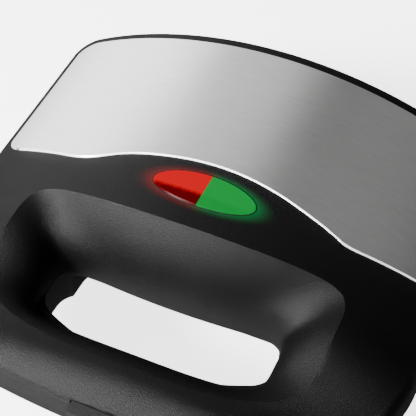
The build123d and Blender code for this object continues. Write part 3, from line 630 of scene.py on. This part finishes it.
# %% Cutter
def opening_cutter(behind=0.0007, low_z=0.045, high_z=0.110):
    """A closed solid a little wider than the opening, for taking the plain roll out of the lid's copy."""
    foot, way, _, run, height, normal, _ = opening_profile(opening_columns, opening_rows)
    cut_run = run + normal[..., 0] * behind
    cut_height = height + normal[..., 1] * behind
    last = cut_run[:, -1:]
    cut_run = np.concatenate([cut_run[:, :1], cut_run, last, last * 0.0], axis=1)
    cut_height = np.concatenate([np.full_like(last, low_z), cut_height, np.full_like(last, high_z),
                                 np.full_like(last, high_z)], axis=1)
    middle = foot.mean(axis=0)
    points = along(foot, way, cut_run, cut_height)
    points[:, -1, :2] = middle
    low = points[:, :1].copy()
    low[..., :2] = middle
    mesh = grid_mesh("opening_cutter", np.concatenate([low, points], axis=1), close_rows=False)
    return mended(mesh, mesh, merge=1e-7)


def cut_lid():
    """The lid's mesh, merged, less the cutter."""
    mesh = mended(nodes["lid_housing"].data, bpy.data.meshes.new("lid_shell"), merge=1e-7, turn_out=False)
    holder = bpy.data.objects.new("lid_work", mesh)
    cutter = bpy.data.objects.new("cutter_work", opening_cutter())
    for helper in (holder, cutter):
        bpy.context.scene.collection.objects.link(helper)
    cut = holder.modifiers.new("cut", "BOOLEAN")
    cut.operation = "DIFFERENCE"
    cut.solver = "EXACT"
    cut.object = cutter
    bpy.context.view_layer.update()
    ready = holder.evaluated_get(bpy.context.evaluated_depsgraph_get())
    result = bpy.data.meshes.new_from_object(ready)
    result.name = "lid_shell"
    for helper in (holder, cutter):
        bpy.data.objects.remove(helper)
    result.polygons.foreach_set("use_smooth", np.ones(len(result.polygons), bool))
    result.set_sharp_from_angle(angle=math.radians(30.0))
    return result


print("opening_cutter and cut_lid are ready")


# %% Lid copy
def known_normals(mesh, height, slack=0.0001, step=0.0002, least_match=0.96):
    """Gives corners on the surface z = height(x, y) the normal (-dz/dx, -dz/dy, 1); the rest keep theirs."""
    count = len(mesh.loops)
    normals = np.empty(count * 3)
    mesh.corner_normals.foreach_get("vector", normals)
    normals = normals.reshape(-1, 3)
    vertex = np.empty(count, int)
    mesh.loops.foreach_get("vertex_index", vertex)
    flat = np.empty(len(mesh.vertices) * 3)
    mesh.vertices.foreach_get("co", flat)
    x, y, z = flat.reshape(-1, 3)[vertex].T
    face = np.empty(len(mesh.polygons) * 3)
    mesh.polygons.foreach_get("normal", face)
    total = np.empty(len(mesh.polygons), int)
    mesh.polygons.foreach_get("loop_total", total)
    face = np.repeat(face.reshape(-1, 3), total, axis=0)
    slope_x = (height(x + step, y) - height(x - step, y)) / (2 * step)
    slope_y = (height(x, y + step) - height(x, y - step)) / (2 * step)
    wanted = np.stack([-slope_x, -slope_y, np.ones(count)], axis=-1)
    wanted = wanted / np.linalg.norm(wanted, axis=-1, keepdims=True)
    on_top = (np.abs(z - height(x, y)) < slack) & ((wanted * face).sum(axis=1) > least_match)
    mesh.normals_split_custom_set(np.where(on_top[:, None], wanted, normals).tolist())
    return int(on_top.sum())


lid_shell = add_piece("lid_shell", cut_lid(), "lid", housing_black)
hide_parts("lid_housing")
print("corners on the top:", known_normals(lid_shell.data, lid_top))
print("lid copy faces:", len(lid_shell.data.polygons))

# %% [markdown]
# ## The steel sheet
# The steel sheet's waved front edge is cut at a slant and polished, so it shows
# as one bright line. The CAD's sheet has a square edge. A bevel would have to
# find that edge among the sheet's loose triangles, so the sheet is made again:
# its outline is read from the CAD mesh, its front edge is smoothed, and the
# slant is part of the form. At each x it is a closed loop, from the front back
# over the top and forward again underneath.

# %% The sheet's outline
plate_lift = 0.0004
top_slack = 0.00004
columns_per_metre = 2500.0
lens_to_split = 0.045
corner_margin = 0.0045


def plate_top(x):
    """Height of the plate's top: an arch 0.4 mm larger in radius than the lid's."""
    return lid_crown - arch_radius + np.sqrt((arch_radius + plate_lift) ** 2 - x * x)


def plate_outline(count=420):
    """x, and the least and greatest y of the CAD plate's top there, with x as sin t for fine corners."""
    mesh = nodes["steel_top_plate"].data
    flat = np.empty(len(mesh.vertices) * 3)
    mesh.vertices.foreach_get("co", flat)
    points = flat.reshape(-1, 3)
    points = points[np.abs(points[:, 2] - plate_top(points[:, 0])) < top_slack]
    x = points[:, 0].max() * np.sin(np.linspace(-0.5, 0.5, count) * np.pi)
    sides = []
    for side in (1.0, -1.0):
        half_plate = points[side * (points[:, 1] - lens_y - lens_to_split) < 0.0]
        key = np.round(half_plate[:, 0] * columns_per_metre)
        order = np.lexsort((side * half_plate[:, 1], key))
        outer = half_plate[order][np.concatenate([[True], np.diff(key[order]) > 0])]
        sides.append(np.interp(x, outer[:, 0], outer[:, 1]))
    return x, sides[0], sides[1]


def plate_front_edge(count=260, window=33):
    """The plate's front edge between its corners, evenly resampled and smoothed over a window of points."""
    x, y = plate_outline()[:2]
    inner = np.abs(x) < x.max() - corner_margin
    x, y = x[inner], y[inner]
    step = np.concatenate([[0.0], np.cumsum(np.hypot(np.diff(x), np.diff(y)))])
    even = np.linspace(0.0, step[-1], count)
    x, y = np.interp(even, step, x), np.interp(even, step, y)
    soft = np.hanning(window)[1:-1]
    longer = np.pad(y, len(soft) // 2, mode="reflect", reflect_type="odd")
    return x, np.convolve(longer, soft / soft.sum(), "valid")


line_x, line_y = plate_front_edge()
print("front edge from x", round(float(line_x[0]), 4), "to", round(float(line_x[-1]), 4))


# %% The sheet
steepest_slope = 1.5
slant_fade = 0.002
top_points = 7


def plate_sheet_mesh(thick=0.0013, slant=0.00062, gap=0.00006, under_set_back=0.00005):
    """The sheet: for each x a closed loop from the front back over the top and forward again underneath."""
    x, front, rear = plate_outline()
    inside = (x > line_x[0]) & (x < line_x[-1])
    front = np.where(inside, np.interp(x, line_x, line_y), front)
    lean = np.sqrt(1.0 + np.minimum(steepest_slope, np.abs(np.gradient(front, x))) ** 2)
    inset = slant * lean * smooth_step((line_x[-1] - np.abs(x)) / slant_fade)
    part = np.linspace(0.0, 1.0, top_points)[None, :]
    top_y = (front + inset)[:, None] + (rear - front - inset)[:, None] * part
    low_y = np.stack([rear, front + under_set_back, front + under_set_back], axis=1)
    under = np.full((len(x), 1), thick)
    drop = np.concatenate([np.zeros_like(top_y), under, under, (inset + gap)[:, None]], axis=1)
    y = np.concatenate([top_y, low_y], axis=1)
    wide = np.repeat(x[:, None], y.shape[1], axis=1)
    mesh = capped("plate_sheet", np.stack([wide, y, plate_top(wide) - drop], axis=-1))
    mesh.set_sharp_from_angle(angle=math.radians(30.0))
    return mesh


plate_sheet = add_piece("plate_sheet", plate_sheet_mesh(), "lid", plate_steel)
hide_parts("steel_top_plate")
print("plate faces:", len(plate_sheet.data.polygons))

# %% [markdown]
# ## The lens seal
# A thin black seal runs round the lens pair and shows as its dark outline. A
# dark line could be painted on the lid, but a bead catches the light as the
# real one does. It is a small oval carried round a long one, which follows the
# lenses' outline.

# %% Lens seal
seal_half_length, seal_half_width = 0.0255, 0.0101
bead_half_wide, bead_half_high = 0.00034, 0.00020
bead_lift = 0.00002
seal_points, bead_points = 200, 10


def lens_seal():
    """The seal: a small oval carried round the long one, out along its normal and up from the lid."""
    angle = np.linspace(0.0, 2.0 * np.pi, seal_points, endpoint=False)[:, None]
    round_bead = np.linspace(0.0, 2.0 * np.pi, bead_points, endpoint=False)[None, :]
    x, y = seal_half_length * np.cos(angle), seal_half_width * np.sin(angle)
    out_x, out_y = np.cos(angle) / seal_half_length, np.sin(angle) / seal_half_width
    size = np.hypot(out_x, out_y)
    run = bead_half_wide * np.cos(round_bead)
    x, y = x + out_x / size * run, lens_y + y + out_y / size * run
    z = lid_top(x, y) + bead_half_high * np.sin(round_bead) + bead_lift
    mesh = grid_mesh("lens_seal", np.stack([x, y, z], axis=-1))
    return mended(mesh, mesh)


seal_piece = add_piece("lens_seal", lens_seal(), "lid", seal_black)
print("seal faces:", len(seal_piece.data.polygons))

# %% [markdown]
# ## The polished strip
# On the real sheet the slant is bright from end to end. Its faces could be given
# the polished finish, but flat faces mirror one direction only. So a thin strip
# with rounded ends to its section is laid on the slant: it catches the light
# from more sides. The section is carried along the smoothed front edge and
# drawn in to a point at both ends.

# %% Polished strip
strip_scale = 0.00068
strip_section = np.array([(-1.02, 0.01), (-0.94, 0.04), (-0.86, 0.00), (0.06, -0.92), (0.08, -1.02),
                          (0.0, -1.06), (-0.12, -0.98), (-1.00, -0.12)]) * strip_scale


def carried(section, x, y, end_depth=0.0004, end_points=5.0):
    """A closed section of (front, up) offsets carried along the edge, drawn in at both ends."""
    radius = arch_radius + plate_lift
    z = plate_top(x)
    way = np.stack([np.gradient(x), np.gradient(y), np.gradient(z)], axis=-1)
    way = way / np.linalg.norm(way, axis=-1, keepdims=True)
    up = np.stack([x / radius, 0.0 * x, np.sqrt(1.0 - (x / radius) ** 2)], axis=-1)
    front = np.cross(way, up)
    front = front / np.linalg.norm(front, axis=-1, keepdims=True)
    from_end = np.minimum(np.arange(len(x)), np.arange(len(x))[::-1])
    taper = np.minimum(1.0, from_end / end_points)[:, None]
    ahead = section[None, :, 0] * taper - end_depth * (1.0 - taper)
    above = section[None, :, 1] * taper - end_depth * (1.0 - taper)
    edge = np.stack([x, y, z], axis=-1)[:, None, :]
    return edge + front[:, None, :] * ahead[..., None] + up[:, None, :] * above[..., None]


def edge_strip():
    """The bright slant along the sheet's front edge."""
    mesh = capped("plate_edge", carried(strip_section, line_x, line_y))
    mesh.set_sharp_from_angle(angle=math.radians(50.0))
    return mesh


edge_piece = add_piece("plate_edge", edge_strip(), "lid", polished_edge_and_highlight)
print("polished strip faces:", len(edge_piece.data.polygons))

# %% [markdown]
# ## The floor
# A product is shot on a pale sheet of paper. A plain white square would need
# far more light than the black plastic can bear, so this one gives off light of
# its own. It is left out of reflections, where it would glare on the plastic,
# and it casts no shadow, so that a lamp can shine up through it.

# %% Floor
floor_half = 3.0
paper_grey, paper_light, paper_strength = 0.86, (0.98, 0.98, 1.0, 1.0), 3.2
corners = [(-floor_half, -floor_half, 0.0), (floor_half, -floor_half, 0.0),
           (floor_half, floor_half, 0.0), (-floor_half, floor_half, 0.0)]
floor_mesh = bpy.data.meshes.new("floor")
floor_mesh.from_pydata(corners, [], [(0, 1, 2, 3)])
floor = bpy.data.objects.new("floor", floor_mesh)
bpy.context.scene.collection.objects.link(floor)
paper = Finish("paper")
floor_mesh.materials.append(paper.feed(Base_Color=grey(paper_grey), Roughness=0.9,
                                       Emission_Strength=paper_strength, Emission_Color=paper_light))
floor.visible_glossy = False
floor.visible_shadow = False
print("floor:", 2 * floor_half, "m wide")

# %% [markdown]
# ## Light
# All the lamps are soft squares. The three at the back are what the steel
# mirrors: the strong one low on the left makes that side bright, and the two
# weak ones let the steel fall away to grey towards the right. The front lamp
# draws the light band along the crease, with a little help from high on the
# left. The last lamp shines up from below the paper, as light thrown back by
# it would, and keeps the opening's lower wall from going black. A bright sky
# would be simpler than six lamps, but it lights black plastic from every side
# and flattens its form, so the sky is dim.

# %% Lamps
def soft_lamp(name, direction, reach, size, power):
    """A square area lamp that far away in that direction, facing the object."""
    lamp = bpy.data.lights.new(name, "AREA")
    lamp.shape = "SQUARE"
    lamp.size = size
    lamp.energy = power
    holder = bpy.data.objects.new(name, lamp)
    bpy.context.scene.collection.objects.link(holder)
    way = np.array(direction, float)
    way = way / np.linalg.norm(way)
    holder.location = way * reach
    yaw = math.atan2(way[0], -way[1])
    pitch = math.acos(way[2])
    holder.rotation_euler = (pitch, 0.0, yaw)
    return holder


soft_lamp("left_back", (-0.82, 0.58, 0.30), reach=1.4, size=0.9, power=8.5)
soft_lamp("back", (-0.36, 0.64, 0.68), reach=1.5, size=0.7, power=1.3)
soft_lamp("back_right", (0.30, 0.62, 0.72), reach=1.5, size=0.8, power=0.25)
soft_lamp("high_left", (-0.58, -0.20, 0.79), reach=1.5, size=0.45, power=6.0)
soft_lamp("front", (-0.58, -0.64, 0.56), reach=1.5, size=0.40, power=128.0)
soft_lamp("from_below", (-0.40, -0.75, -0.50), reach=1.5, size=0.9, power=34.0)

# %% Sky
sky_strength = 0.10
sky = bpy.data.worlds.new("sky")
sky.use_nodes = True
background = sky.node_tree.nodes["Background"]
background.inputs["Color"].default_value = grey(1.0)
background.inputs["Strength"].default_value = sky_strength
bpy.context.scene.world = sky
print("sky strength:", sky_strength)
